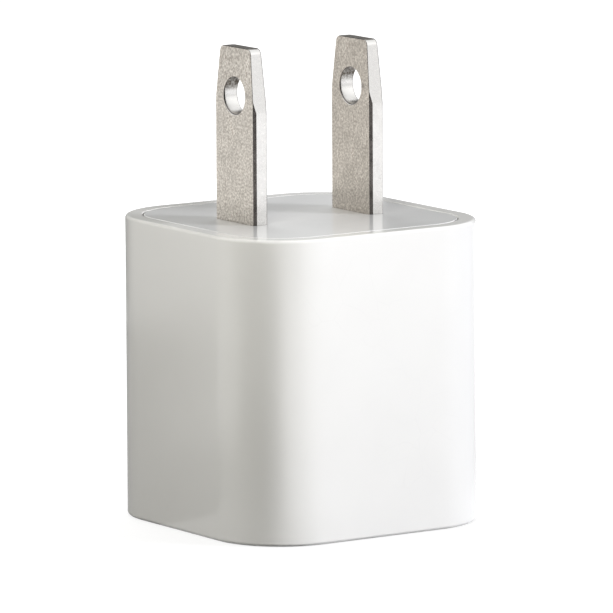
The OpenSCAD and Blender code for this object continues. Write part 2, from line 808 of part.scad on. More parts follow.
// Folded sleeve with six spring fingers, open behind where the contact tails leave it
module usb_shell() {
    open_w = 2 * strip_out + 2 * strip_w;
    color("silver") {
        difference() {
            translate([0, 0, usb_recess]) linear_extrude(usb_depth) difference() {
                round_rect(sleeve_w, sleeve_h, sleeve_r);
                round_rect(usb_w, usb_h, usb_r);
            }
            at_fingers() translate([-(finger_w / 2 + finger_slot), -root, 0])
                cube([finger_w + 2 * finger_slot, usb_sheet + 2 * root, finger_len + finger_slot]);
            translate([-open_w / 2, -sleeve_h / 2 - root, tail_z - strip_w])
                cube([open_w, usb_sheet + 2 * root, usb_depth]);
        }
        at_fingers() finger();
        for (s = [-1, 1]) sleeve_leg(s);
    }
}

// Contact strips: they lie in the tongue, turn behind it and pass through the board
module usb_contacts() {
    face = tongue_y - strip_proud;
    inside = face + strip_t;
    low = usb_back - lead_out;
    color("gold") for (x = strip_x) translate([x, 0, 0]) stand_yz(strip_w)
        polygon([[face, tongue_z + 2 * tongue_bevel], [inside, tongue_z + 2 * tongue_bevel],
            [inside, tail_z + strip_t], [low, tail_z + strip_t], [low, tail_z], [face, tail_z]]);
}

module usb_insulator() {
    y1 = tongue_y + tongue_t;
    b = tongue_bevel;
    color("white") difference() {
        union() {
            translate([0, 0, rear_z - block_len]) linear_extrude(block_len)
                round_rect(usb_w - 2 * fit_gap, usb_h - 2 * fit_gap, usb_r);
            stand_yz(tongue_w)
                polygon([[tongue_y + b, tongue_z], [y1 - b, tongue_z], [y1, tongue_z + b], [y1, rear_z],
                    [tongue_y, rear_z], [tongue_y, tongue_z + b]]);
        }
        usb_contacts();
    }
}

// Moves to the upright board's rear face, with z pointing away from the board
module on_usb_back(x, z) {
    translate([x, usb_back, z]) rotate([90, 0, 0]) children();
}

module output_capacitor(s) {
    color("silver") on_usb_back(s * out_x, out_z) {
        post([out_d + part_gap, out_d + part_gap, out_base], 0);
        translate([0, 0, out_h]) mirror([0, 0, 1]) rotate_extrude() can_profile(out_d / 2, out_h);
    }
}

// Stands on one ear of the upright board, beside the transformer
module output_rectifier() {
    color("dimgray") on_usb_back(diode_x, diode_z) rotate([0, 0, 90]) {
        chip_body(diode);
        for (s = [0, 180]) rotate([0, 0, s])
            translate([diode[0] / 2 - 2 * chip_slant, 0, 0]) post([4 * chip_slant, diode[1] / 2, foot_t], 0);
    }
}

module usb_board_passives() {
    color("tan") for (s = [-1, 1], i = [-1.5 : 1 : 1.5])
        on_usb_back(s * usb_row_x, out_z + i * small_pitch) post(small, 0);
}

housing();
blade_plate();
blade(-1);  // blade_left
blade(1);  // blade_right
ac_contact(-1);  // ac_contact_left
ac_contact(1);  // ac_contact_right
main_board();
fusible_resistor();
bridge_rectifier();
filter_inductor();
bulk_capacitor(-1);  // bulk_capacitor_left
bulk_capacitor(1);  // bulk_capacitor_right
controller_chip();
power_transistor();
main_board_passives();
core_half(1);  // transformer_core_front
core_half(-1);  // transformer_core_rear
transformer_bobbin();
transformer_winding();
transformer_tape();
transformer_pins();
y_capacitor();
insulation_sheet();
usb_board();
usb_shell();
usb_insulator();
usb_contacts();
output_rectifier();
output_capacitor(-1);  // output_capacitor_left
output_capacitor(1);  // output_capacitor_right
usb_board_passives();
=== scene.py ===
import json
import math

import bmesh
import bpy
from bpy.props import FloatProperty, FloatVectorProperty, PointerProperty
from bpy.types import Operator, Panel, PropertyGroup
from mathutils import Matrix, Vector, noise


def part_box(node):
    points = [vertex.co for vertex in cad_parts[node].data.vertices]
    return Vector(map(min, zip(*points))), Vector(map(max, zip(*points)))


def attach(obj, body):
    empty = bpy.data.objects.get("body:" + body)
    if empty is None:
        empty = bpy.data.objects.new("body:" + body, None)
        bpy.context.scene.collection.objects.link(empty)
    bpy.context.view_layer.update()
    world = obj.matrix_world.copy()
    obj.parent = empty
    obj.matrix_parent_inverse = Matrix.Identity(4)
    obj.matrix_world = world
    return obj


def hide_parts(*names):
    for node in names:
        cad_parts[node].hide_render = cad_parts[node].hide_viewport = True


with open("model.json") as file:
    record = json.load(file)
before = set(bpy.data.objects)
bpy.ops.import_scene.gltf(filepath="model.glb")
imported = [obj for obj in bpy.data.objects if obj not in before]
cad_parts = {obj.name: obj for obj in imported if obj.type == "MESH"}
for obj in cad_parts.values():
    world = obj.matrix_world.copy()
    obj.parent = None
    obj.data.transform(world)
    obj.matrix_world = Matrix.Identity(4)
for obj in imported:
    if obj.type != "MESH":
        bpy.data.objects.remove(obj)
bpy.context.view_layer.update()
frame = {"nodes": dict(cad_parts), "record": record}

bl_info = {
    "name": "USB Wall Charger",
    "version": (1, 0, 0),
    "blender": (4, 5, 0),
    "location": "3D View > Sidebar > Charger",
    "description": "Housing, end plate, blades, socket and studio of a small wall charger",
    "category": "Object",
}

MM = 0.001
BODY_LOW, BODY_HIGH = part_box("housing")
BLADE_LOW, BLADE_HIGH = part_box("blade_right")
RECORD_COLOURS = {m["slot"]: m["base_color"] for m in frame["record"]["materials"]}
NODE_SLOTS = {p["node"]: p["material_slot"] for p in frame["record"]["subparts"]}

# Softening of moulded edges, and the four corners anticlockwise from +X +Y
SOFT = 0.06 * MM
CORNERS = ((1, 1), (-1, 1), (-1, -1), (1, -1))

# Hidden sizes of the blades' roots and of the bosses and legs under the end plate
BOSS_HEIGHT, BOSS_HALF, BOSS_REACH = 1.4 * MM, 1.75 * MM, 1.9 * MM
ANCHOR_RISE, ANCHOR_HEIGHT, ANCHOR_REACH = 0.3 * MM, 0.8 * MM, 0.9 * MM
TAIL_WIDTH, TAIL_LENGTH = 2.8 * MM, 1.2 * MM
LEG_GAP, ROOT = 0.6 * MM, 0.4 * MM

# Hidden sizes of the guides, posts and collar inside the housing
GUIDE_WIDTH, GUIDE_DEPTH, GUIDE_GAP = 1.0 * MM, 1.2 * MM, 0.1 * MM
POST_HALF, POST_DEPTH = 0.8 * MM, 1.8 * MM
COLLAR, COLLAR_HEIGHT = 0.9 * MM, 2 * MM
SUNK = 0.3 * MM


# Sizes and colours that a user may change

def length(name, description, default):
    """A length in metres with its label."""
    return FloatProperty(name=name, description=description, default=default, min=0.0, precision=5,
                         unit="LENGTH", subtype="DISTANCE")


def tint(name, description, default):
    """A linear colour with its label."""
    return FloatVectorProperty(name=name, description=description, default=default, size=3,
                               min=0.0, max=1.0, subtype="COLOR")


def level(name, description, default):
    """A light level: how bright the face of a panel, a cloth or the room is, where 1 is white."""
    return FloatProperty(name=name, description=description, default=default, min=0.0, soft_max=10.0)


class CHARGER_PG_body(PropertyGroup):
    """Sizes of the moulded housing and its end plate"""

    width: length("Width", "Across the two blades", BODY_HIGH.x - BODY_LOW.x)
    depth: length("Depth", "Along the width of the blades", BODY_HIGH.y - BODY_LOW.y)
    height: length("Height", "From the socket face to the end plate", BODY_HIGH.z - BODY_LOW.z)
    corner: length("Corner radius", "Radius of the four upright corners", 7 * MM)
    edge: length("Edge radius", "Rounding of the outer edges at both ends", 0.3 * MM)
    wall: length("Wall", "Thickness of the side walls", 2.1 * MM)
    floor: length("Socket face", "Thickness of the socket face", 1.8 * MM)
    rim: length("Rim", "Width of the rim round the end plate", 1.6 * MM)
    plate: length("End plate", "Thickness of the end plate", 2.2 * MM)
    seam: length("Seam", "Gap between the rim and the end plate", 0.08 * MM)
    seam_break: length("Seam edge", "Rounding of the two edges of the seam", 0.12 * MM)
    skirt: length("Skirt", "Thickness of the skirt under the end plate", 1.0 * MM)
    skirt_height: length("Skirt height", "Height of the skirt under the end plate", 1.4 * MM)
    port_width: length("Port width", "Width of the socket's hole", 13.4 * MM)
    port_height: length("Port height", "Height of the socket's hole", 6.0 * MM)
    port_corner: length("Port corner", "Corner radius of the socket's hole", 0.95 * MM)
    port_bevel: length("Port bevel", "Bevel round the socket's hole", 0.3 * MM)
    ripple: length("Mould ripple", "Depth of the slow waves that moulding leaves in the walls", 0.014 * MM)


class CHARGER_PG_blades(PropertyGroup):
    """Sizes of the two flat blades"""

    pitch: length("Pitch", "Distance between the middles of the blades", BLADE_HIGH.x + BLADE_LOW.x)
    width: length("Width", "Width of a blade", 6.35 * MM)
    thickness: length("Thickness", "Thickness of a blade", BLADE_HIGH.x - BLADE_LOW.x)
    tip: length("Tip height", "Height of the tips above the socket face", BLADE_HIGH.z)
    bevel: length("Bevel", "Bevel on the long edges of the -X side, from the thickness", 0.31 * MM)
    bevel_width: length("Bevel width", "Bevel on the long edges, from the width", 0.14 * MM)
    far_bevel: length("Far bevel", "Bevel on the long edges of the +X side, from the thickness", 0.14 * MM)
    edge: length("Edge break", "Worn break where the bevel has run out", 0.035 * MM)
    tip_length: length("Tip length", "Length over which the width narrows", 5.8 * MM)
    tip_width: length("Tip width", "Width at the tip", 4.96 * MM)
    tip_thickness: length("Tip thickness", "Thickness at the tip", 1.2 * MM)
    thin_length: length("Thinning length", "Length over which the thickness narrows", 4.5 * MM)
    tip_round: length("Tip corner", "Radius of the tip's corners", 0.62 * MM)
    tip_break: length("Tip break", "Break on the end edges", 0.05 * MM)
    hole: length("Hole", "Diameter of the hole", 3.4 * MM)
    hole_height: length("Hole height", "Middle of the hole above the end plate", 11.6 * MM)
    hole_break: length("Hole lip", "Rolled lip on both rims of the hole", 0.14 * MM)
    slot_gap: length("Slot gap", "Gap between a blade and the plate moulded round it", 0.02 * MM)


class CHARGER_PG_finish(PropertyGroup):
    """Colours of the surfaces that show"""

    shell: tint("Housing", "Polished moulded white of the housing", (0.885, 0.882, 0.858))
    plate: tint("End plate", "Polished moulded white of the end plate", (0.84, 0.845, 0.84))
    nickel: tint("Left blade", "Nickel plate of the left blade", (0.64, 0.60, 0.54))
    # The right blade's nickel is the left blade's metal painted darker: painted shade
    nickel_shaded: tint("Right blade", "Duller nickel plate of the right blade", (0.575, 0.53, 0.467))
    nickel_low: tint("Blade pits", "Darker tone in the pits of the nickel", (0.34, 0.30, 0.26))
    sleeve: tint("Sleeve", "Plated sheet of the socket sleeve", (0.62, 0.61, 0.60))
    tongue: tint("Tongue", "Moulded tongue of the socket", (0.82, 0.82, 0.80))
    contacts: tint("Contacts", "Gold plate of the socket contacts", (0.83, 0.62, 0.24))


class CHARGER_PG_stage(PropertyGroup):
    """Levels of the lamps and of the cloths and mats that only reflections show, and tints of the floor"""

    key: level("Key", "Soft panel on the right", 56.8)
    front: level("Front", "Small soft panel near the camera's side", 7.35)
    side: level("Side", "Soft panel on the left", 3.2)
    top: level("Top", "Soft panel overhead, from behind", 4.0)
    back: level("Back", "Soft panel behind the charger, low down", 4.3)
    ambient: level("Ambient", "Light of the white room on matt surfaces", 0.015)
    window: level("Window", "White of the cloth on the left", 1.0)
    bright: level("Bright cloth", "White of the cloth on the right", 1.2)
    cloth: level("Cloth", "Grey of the cloth behind the charger", 0.14)
    card: level("Card", "White of the small card behind the charger", 0.5)
    mat: level("Mat", "Grey of the mats on the left", 0.35)
    glare: level("Glare", "White of the mat on the right", 1.7)
    sill: level("Sill", "White of the mat below the window", 1.3)
    edge: level("Edge mat", "Grey of the mat on the far right", 0.75)
    flag: level("Flag", "Dark of the flag round the camera", 0.03)
    bounce: tint("Floor bounce", "What the floor throws back on to the charger", (0.06,) * 3)
    shadow: tint("Floor shadow", "Lamp light that the shadow takes from the floor", (0.25,) * 3)


# Meshes

def ring(half_x, half_y, radius, z, corner=20, side=12):
    """Points round a rectangle with round corners; every ring has the same number of points."""
    arcs = []
    for quarter, (sx, sy) in enumerate(CORNERS):
        middle = Vector((sx * (half_x - radius), sy * (half_y - radius), z))
        turns = [math.radians(90 * (quarter + i / corner)) for i in range(corner + 1)]
        arcs.append([middle + radius * Vector((math.cos(turn), math.sin(turn), 0)) for turn in turns])
    points = []
    for arc, after in zip(arcs, arcs[1:] + arcs[:1]):
        points += arc + [arc[-1].lerp(after[0], j / side) for j in range(1, side)]
    return points


def body_ring(b, inset, z):
    """Ring that follows the housing's outside, set in from it."""
    return ring(b.width / 2 - inset, b.depth / 2 - inset, b.corner - inset, z)


def round_over(radius, steps):
    """Offsets round a quarter turn, in pairs from (radius, 0) to (0, radius)."""
    turns = [math.radians(90 * i / steps) for i in range(steps + 1)]
    return [(radius * (1 - math.sin(turn)), radius * (1 - math.cos(turn))) for turn in turns]


def blend(first, last, steps):
    """Rings between two rings of the same count."""
    return [[a.lerp(b, i / steps) for a, b in zip(first, last)] for i in range(1, steps)]


def skin(bm, rings, closed=False):
    """Joins successive rings with quads; the last is joined to the first, or else both ends are capped."""
    rows = [[bm.verts.new(p) for p in points] for points in rings]
    pairs = list(zip(rows, rows[1:])) + ([(rows[-1], rows[0])] if closed else [])
    count = len(rows[0])
    for low, high in pairs:
        for i in range(count):
            j = (i + 1) % count
            bm.faces.new((low[i], low[j], high[j], high[i]))
    if not closed:
        bm.faces.new(rows[0])
        bm.faces.new(rows[-1])


def block(bm, low, high, turn=0.0, middle=(0, 0), soft=SOFT):
    """Box with softened edges, from low to high, turned about an upright axis through the middle."""
    made = bmesh.ops.create_cube(bm, size=1.0)["verts"]
    low, high = Vector(low), Vector(high)
    fit = Matrix.Translation((low + high) / 2) @ Matrix.Diagonal((*(high - low), 1))
    place = Matrix.Translation((*middle, 0)) @ Matrix.Rotation(turn, 4, "Z") @ fit
    bmesh.ops.transform(bm, matrix=place, verts=made)
    edges = list({e for v in made for e in v.link_edges})
    if soft:
        bmesh.ops.bevel(bm, geom=edges, offset=soft, segments=2, profile=0.5, affect="EDGES")


def shift(rows, x):
    """Moves rows of points along X and returns them."""
    for row in rows:
        for point in row:
            point.x += x
    return rows


def piece_from(name, bm):
    """Object from a finished mesh."""
    bmesh.ops.remove_doubles(bm, verts=bm.verts, dist=1e-7)
    bmesh.ops.recalc_face_normals(bm, faces=bm.faces)
    mesh = bpy.data.meshes.new(name)
    bm.to_mesh(mesh)
    bm.free()
    made = bpy.data.objects.new(name, mesh)
    bpy.context.scene.collection.objects.link(made)
    return made


def capped(name, rings):
    """Object with a skin over successive rings, capped at both ends."""
    bm = bmesh.new()
    skin(bm, rings)
    return piece_from(name, bm)


def carve(piece, tool, operation):
    """Joins the tool to the piece or cuts it away, and removes the tool."""
    step = piece.modifiers.new("carve", "BOOLEAN")
    step.operation, step.object, step.solver = operation, tool, "EXACT"
    bpy.context.view_layer.update()
    shaped = piece.evaluated_get(bpy.context.evaluated_depsgraph_get())
    mesh = bpy.data.meshes.new_from_object(shaped)
    piece.modifiers.clear()
    old, piece.data = piece.data, mesh
    bpy.data.meshes.remove(old)
    spare = tool.data
    bpy.data.objects.remove(tool)
    bpy.data.meshes.remove(spare)
    mesh.name = piece.name


def dress(piece, look, slot, *nodes, crease=32.0):
    """Shades a piece, gives it its finish and seats it on the body in place of its nodes."""
    piece.data.materials.clear()
    piece.data.materials.append(look)
    piece.data.shade_smooth()
    piece.data.set_sharp_from_angle(angle=math.radians(crease))
    even = piece.modifiers.new("even_normals", "WEIGHTED_NORMAL")
    even.keep_sharp, even.weight = True, 60
    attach(piece, "root")
    if nodes:
        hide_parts(*nodes)


# Shader nodes and groups; the makers of single values return the socket of their result

def add(tree, kind, values=(), **settings):
    """New shader node with its settings and socket values."""
    made = tree.nodes.new("ShaderNode" + kind)
    for key, value in settings.items():
        setattr(made, key, value)
    for key, value in dict(values).items():
        made.inputs[key].default_value = value
    return made


def join(tree, *pairs):
    """Links pairs of sockets."""
    for out, into in pairs:
        tree.links.new(out, into)


def put(tree, value, socket):
    """Feeds a socket from another socket, a number or a colour."""
    if isinstance(value, bpy.types.NodeSocket):
        tree.links.new(value, socket)
    elif isinstance(value, (int, float)):
        socket.default_value = value
    else:
        socket.default_value = (*value, 1.0)


def math_node(tree, operation, *values, clamp=False):
    """Math on sockets or numbers."""
    made = add(tree, "Math", operation=operation, use_clamp=clamp)
    for value, socket in zip(values, made.inputs):
        put(tree, value, socket)
    return made.outputs[0]


def times(tree, first, second):
    """Product of two sockets or numbers."""
    return math_node(tree, "MULTIPLY", first, second)


def ramp(tree, value, low, high, to_low=0.0, to_high=1.0, smooth=False):
    """Carries a value from one span to another."""
    spans = {"From Min": low, "From Max": high, "To Min": to_low, "To Max": to_high}
    made = add(tree, "MapRange", spans)
    if smooth:
        made.interpolation_type = "SMOOTHSTEP"
    tree.links.new(value, made.inputs["Value"])
    return made.outputs["Result"]


def mix(tree, share, first, second):
    """Mixes two colours."""
    made = add(tree, "Mix", data_type="RGBA")
    for value, index in ((share, 0), (first, 6), (second, 7)):
        put(tree, value, made.inputs[index])
    return made.outputs[2]


def choose(tree, share, first, second):
    """Mixes the shaders of two nodes."""
    made = add(tree, "MixShader")
    for socket, place in zip((share, first.outputs[0], second.outputs[0]), made.inputs):
        tree.links.new(socket, place)
    return made.outputs[0]


def stained(tree, tone, *layers):
    """Lays colours over a tone in turn; each layer is a mask, the share of it that is laid, and a colour."""
    for mask, share, colour in layers:
        tone = mix(tree, times(tree, mask, share), tone, colour)
    return tone


def shade(colour, factor, lift=0.0):
    """A colour made darker or lighter."""
    return tuple(min(1.0, factor * c + lift) for c in colour)


def here(tree, kind="Object"):
    """Place on the piece, or another coordinate of it."""
    return add(tree, "TexCoord").outputs[kind]


def texture(tree, kind, place, scale, values=(), **settings):
    """Pattern at a place, at a scale per metre; returns its outputs."""
    made = add(tree, "Tex" + kind, values, **settings)
    put(tree, place, made.inputs["Vector"])
    put(tree, scale, made.inputs["Scale"])
    return made.outputs


def cloud(tree, place, scale, **values):
    """Noise at a place, at a scale per metre; returns its outputs."""
    return texture(tree, "Noise", place, scale, values)


def group(name, inputs, outputs):
    """Empty shader group with named sockets; returns the tree, its inputs and its outputs."""
    tree = bpy.data.node_groups.new(name, "ShaderNodeTree")
    for socket, default in inputs.items():
        kind = "NodeSocketVector" if isinstance(default, tuple) else "NodeSocketFloat"
        tree.interface.new_socket(socket, in_out="INPUT", socket_type=kind).default_value = default
    for socket in outputs:
        tree.interface.new_socket(socket, in_out="OUTPUT", socket_type="NodeSocketFloat")
    return tree, tree.nodes.new("NodeGroupInput").outputs, tree.nodes.new("NodeGroupOutput").inputs


def grain_group():
    """Fine grain and a slower tone, at a scale per metre that may be drawn out along an axis."""
    tree, given, wanted = group("fine_grain", {"Scale": 5000.0, "Draw": (1, 1, 1)}, ("Height", "Tone"))
    drawn = add(tree, "VectorMath", operation="MULTIPLY")
    join(tree, (here(tree), drawn.inputs[0]), (given["Draw"], drawn.inputs[1]))
    fine = cloud(tree, drawn.outputs[0], given["Scale"], Detail=3.0, Roughness=0.6)["Fac"]
    slow = cloud(tree, drawn.outputs[0], times(tree, given["Scale"], 0.17), Detail=2.0, Roughness=0.5)["Fac"]
    join(tree, (fine, wanted["Height"]), (ramp(tree, slow, 0.3, 0.7), wanted["Tone"]))
    return tree


def marks_group():
    """Sparse specks, hairline scratches and smudges."""
    tree, given, wanted = group(
        "surface_marks",
        {"Speck Scale": 900.0, "Speck Size": 0.1, "Speck Share": 0.1, "Scratch Scale": 300.0,
         "Smudge Scale": 150.0},
        ("Specks", "Scratches", "Smudges"))
    place = here(tree)
    cells = texture(tree, "Voronoi", place, given["Speck Scale"], feature="F1")
    chance = add(tree, "SeparateColor")
    join(tree, (cells["Color"], chance.inputs[0]))
    away = math_node(tree, "DIVIDE", cells["Distance"], given["Speck Size"])
    spot = math_node(tree, "SUBTRACT", 1.0, away, clamp=True)
    kept = math_node(tree, "LESS_THAN", chance.outputs[0], given["Speck Share"])
    bent = add(tree, "VectorMath", operation="MULTIPLY_ADD")
    bent.inputs[1].default_value = (0.004, 0.004, 0.004)
    turned = add(tree, "Mapping", {"Rotation": (0.5, 0.9, 0.35), "Scale": (1.0, 9.0, 1.0)})
    join(tree, (cloud(tree, place, 60.0, Detail=2.0)["Color"], bent.inputs[0]), (place, bent.inputs[2]),
         (bent.outputs[0], turned.inputs["Vector"]))
    lines = texture(tree, "Voronoi", turned.outputs[0], given["Scratch Scale"], feature="DISTANCE_TO_EDGE")
    hair = ramp(tree, lines["Distance"], 0.0, 0.014, 1.0, 0.0)
    worn = ramp(tree, cloud(tree, place, 90.0, Detail=1.0)["Fac"], 0.5, 0.68)
    smudge = cloud(tree, place, given["Smudge Scale"], Detail=4.0, Roughness=0.55, Distortion=0.4)["Fac"]
    join(tree, (times(tree, spot, kept), wanted["Specks"]), (times(tree, hair, worn), wanted["Scratches"]),
         (ramp(tree, smudge, 0.42, 0.68, smooth=True), wanted["Smudges"]))
    return tree


def wear_group():
    """Broken-up mask along the edges of a piece."""
    tree, given, wanted = group("edge_wear", {"Radius": 0.0002, "Breakup": 1500.0}, ("Edge",))
    round_edge = add(tree, "Bevel", samples=4)
    flat = add(tree, "NewGeometry")
    turn = add(tree, "VectorMath", operation="DOT_PRODUCT")
    join(tree, (given["Radius"], round_edge.inputs["Radius"]), (round_edge.outputs[0], turn.inputs[0]),
         (flat.outputs["Normal"], turn.inputs[1]))
    edge = ramp(tree, turn.outputs["Value"], 0.995, 0.86)
    broken = ramp(tree, cloud(tree, here(tree), given["Breakup"], Detail=2.0)["Fac"], 0.35, 0.6)
    join(tree, (times(tree, edge, broken), wanted["Edge"]))
    return tree


GROUP_MAKERS = {"fine_grain": grain_group, "surface_marks": marks_group, "edge_wear": wear_group}


def use(tree, name, values=()):
    """Places a shared group in a material with its own values; returns its outputs."""
    shared = bpy.data.node_groups.get(name) or GROUP_MAKERS[name]()
    return add(tree, "Group", values, node_tree=shared).outputs


def material(name, **sockets):
    """New material with plain values on its shader's own sockets; returns it and its tree."""
    made = bpy.data.materials.new(name)
    made.use_nodes = True
    shader = made.node_tree.nodes["Principled BSDF"]
    for key, value in sockets.items():
        shader.inputs[key.replace("_", " ")].default_value = value
    return made, made.node_tree


def bare_material(name):
    """New material with nothing but its output; returns it, its tree and its surface socket."""
    made, tree = material(name)
    tree.nodes.clear()
    return made, tree, add(tree, "OutputMaterial").inputs["Surface"]


def surface(made, tone, rough, *layers):
    """Gives a material colour, roughness and bumps of (height socket, depth in metres); returns it."""
    tree = made.node_tree
    shader = tree.nodes["Principled BSDF"]
    join(tree, (tone, shader.inputs["Base Color"]), (rough, shader.inputs["Roughness"]))
    below = None
    for height, depth in layers:
        bump = add(tree, "Bump", {"Strength": 1.0, "Distance": depth})
        tree.links.new(height, bump.inputs["Height"])
        if below:
            tree.links.new(below, bump.inputs["Normal"])
        below = bump.outputs["Normal"]
    tree.links.new(below, shader.inputs["Normal"])
    return made


# Finishes

def polished_white(name, colour, haze, rubbed):
    """Polished moulded plastic with mould ripple, faint smudges, hairlines and dust."""
    made, tree = material(name, IOR=1.5)
    peel = use(tree, "fine_grain", {"Scale": 900.0})
    marks = use(tree, "surface_marks", {"Speck Scale": 420.0, "Speck Size": 0.035, "Speck Share": 0.1,
                                        "Scratch Scale": 260.0, "Smudge Scale": 130.0})
    wear = use(tree, "edge_wear", {"Radius": 0.00025, "Breakup": 900.0})
    tone = stained(
        tree, colour,
        (peel["Tone"], 0.25, shade(colour, 0.93)),
        (marks["Scratches"], 0.12 * rubbed, (0.55, 0.55, 0.54)),
        (marks["Specks"], 0.75, (0.2, 0.18, 0.16)),
        (wear["Edge"], 0.1, (0.7, 0.7, 0.68)))
    rough = math_node(tree, "MULTIPLY_ADD", marks["Smudges"], 0.07, haze)
    rough = math_node(tree, "MULTIPLY_ADD", marks["Scratches"], 0.15 * rubbed, rough)
    rough = math_node(tree, "MULTIPLY_ADD", wear["Edge"], 0.1, rough)
    return surface(made, tone, rough, (peel["Tone"], 2.5e-6), (peel["Height"], 0.5e-6),
                   (marks["Scratches"], -0.6e-6 * rubbed))


def pitted_nickel(name, colour, low):
    """Nickel plate over stamped metal: pitted flats, smooth sheared sides, bevels with a painted dark
    reflection and a punched hole.

    The hole's wall has painted shade above and a painted highlight below; the tip's end has a painted dark
    reflection.
    """
    made, tree = material(name, Metallic=1.0)
    pits = use(tree, "fine_grain", {"Scale": 4800.0})
    rub = use(tree, "fine_grain", {"Scale": 2600.0, "Draw": (1.0, 1.0, 0.09)})
    marks = use(tree, "surface_marks", {"Speck Scale": 1500.0, "Speck Size": 0.16, "Speck Share": 0.16,
                                        "Scratch Scale": 420.0})
    wear = use(tree, "edge_wear", {"Radius": 0.00022, "Breakup": 2200.0})
    facing = add(tree, "SeparateXYZ")
    join(tree, (here(tree, "Normal"), facing.inputs[0]))
    wide, upward = math_node(tree, "ABSOLUTE", facing.outputs["X"]), facing.outputs["Z"]
    punched = ramp(tree, math_node(tree, "ABSOLUTE", upward), 0.15, 0.4, 0.0, 0.8)
    rolled = math_node(tree, "MAXIMUM", ramp(tree, wide, 0.75, 0.95, 0.3, 1.0), punched)
    sheared = ramp(tree, wide, 0.92, 0.75, 0.0, 0.75)
    # Painted dark reflection: the bevel facets between the wide and the narrow faces are painted dark
    bevel_dark_reflection = times(tree, ramp(tree, wide, 0.2, 0.36), ramp(tree, wide, 0.93, 0.8))
    # Painted dark reflection: the tip's end, which faces up, is painted dark
    tip_dark_reflection = ramp(tree, upward, 0.85, 0.97, 0.0, 0.6)
    # Painted shade: the hole's wall is painted dark where it faces down
    hole_painted_shade = times(tree, ramp(tree, upward, -0.1, -0.5, 0.0, 0.95),
                      ramp(tree, pits["Height"], 0.45, 0.62, 1.0, 0.4))
    # Painted highlight: the hole's wall is painted pale where it faces up
    hole_painted_highlight = times(tree, ramp(tree, upward, 0.13, 0.32, 0.0, 0.85), ramp(tree, upward, 0.97, 0.85))
    deep = times(tree, ramp(tree, pits["Height"], 0.56, 0.38), rolled)
    raised = ramp(tree, pits["Height"], 0.57, 0.68)
    bright = shade(colour, 1.22, 0.04)
    tone = stained(
        tree, colour,
        (deep, 0.95, low),
        (pits["Tone"], 0.24, shade(colour, 0.72)),
        (raised, 0.75, bright),
        (rub["Tone"], 0.16, bright),
        (marks["Specks"], 0.85, (0.09, 0.075, 0.06)),
        (wear["Edge"], 0.3, (0.78, 0.74, 0.68)),
        (sheared, 1.0, (0.70, 0.70, 0.70)),
        (tip_dark_reflection, 1.0, (0.36, 0.31, 0.25)),
        (hole_painted_shade, 1.0, (0.12, 0.10, 0.08)),
        (hole_painted_highlight, 1.0, (0.91, 0.90, 0.875)),
        (bevel_dark_reflection, 0.85, (0.13, 0.11, 0.10)))
    rough = times(tree, ramp(tree, pits["Tone"], 0.0, 1.0, 0.27, 0.38),
                  ramp(tree, rolled, 0.3, 1.0, 0.75, 1.0))
    rough = math_node(tree, "MULTIPLY_ADD", wear["Edge"], -0.1, rough)
    rough = math_node(tree, "MULTIPLY_ADD", marks["Scratches"], 0.1, rough)
    return surface(made, tone, rough, (pits["Tone"], 8e-6), (times(tree, pits["Height"], rolled), 12e-6),
                   (rub["Height"], 2e-6), (marks["Specks"], -10e-6))


def plated_metal(name, colour, rough, drawn=(1.0, 1.0, 1.0)):
    """Thin plated sheet or pin with rolling lines, tarnish and worn edges."""
    made, tree = material(name, Metallic=1.0)
    lines = use(tree, "fine_grain", {"Scale": 3800.0, "Draw": drawn})
    marks = use(tree, "surface_marks", {"Scratch Scale": 500.0, "Smudge Scale": 320.0})
    wear = use(tree, "edge_wear", {"Radius": 0.00012, "Breakup": 3000.0})
    tone = stained(
        tree, colour,
        (lines["Tone"], 0.25, shade(colour, 0.72)),
        (marks["Smudges"], 0.15, shade(colour, 0.6)),
        (wear["Edge"], 0.4, shade(colour, 1.2)))
    shine = ramp(tree, marks["Smudges"], 0.0, 1.0, rough, rough + 0.14)
    return surface(made, tone, shine, (lines["Height"], 1.5e-6), (marks["Scratches"], -1e-6))


def moulded_part(name, colour, rough, scale):
    """Moulded, dipped, coated or sintered part with a fine grain and dust."""
    made, tree = material(name)
    grain = use(tree, "fine_grain", {"Scale": scale})
    marks = use(tree, "surface_marks", {"Speck Scale": 1100.0, "Speck Size": 0.12, "Speck Share": 0.12,
                                        "Scratch Scale": 400.0, "Smudge Scale": 240.0})
    wear = use(tree, "edge_wear", {"Radius": 0.00015, "Breakup": 2500.0})
    tone = stained(
        tree, colour,
        (grain["Tone"], 0.4, shade(colour, 0.7)),
        (marks["Specks"], 0.5, (0.55, 0.53, 0.5)),
        (wear["Edge"], 0.3, shade(colour, 1.3, 0.05)))
    shine = ramp(tree, marks["Smudges"], 0.0, 1.0, rough, min(1.0, rough + 0.15))
    return surface(made, tone, shine, (grain["Height"], 4e-6), (marks["Scratches"], -1e-6))


def solder_mask(name, colour):
    """Circuit board: green lacquer with paler tracks under it."""
    made, tree = material(name, Coat_Weight=0.3)
    grain = use(tree, "fine_grain", {"Scale": 2500.0})
    marks = use(tree, "surface_marks", {"Smudge Scale": 200.0})
    sizes = {"Mortar Size": 0.00012, "Brick Width": 0.0042, "Row Height": 0.0013, "Mortar Smooth": 0.2}
    tracks = texture(tree, "Brick", here(tree), 1.0, sizes)["Fac"]
    tone = stained(
        tree, colour,
        (tracks, 1.0, shade(colour, 1.7, 0.01)),
        (grain["Tone"], 0.3, shade(colour, 0.6)))
    shine = ramp(tree, marks["Smudges"], 0.0, 1.0, 0.28, 0.42)
    return surface(made, tone, shine, (tracks, 2e-5), (grain["Height"], 2e-6))


# Shapes

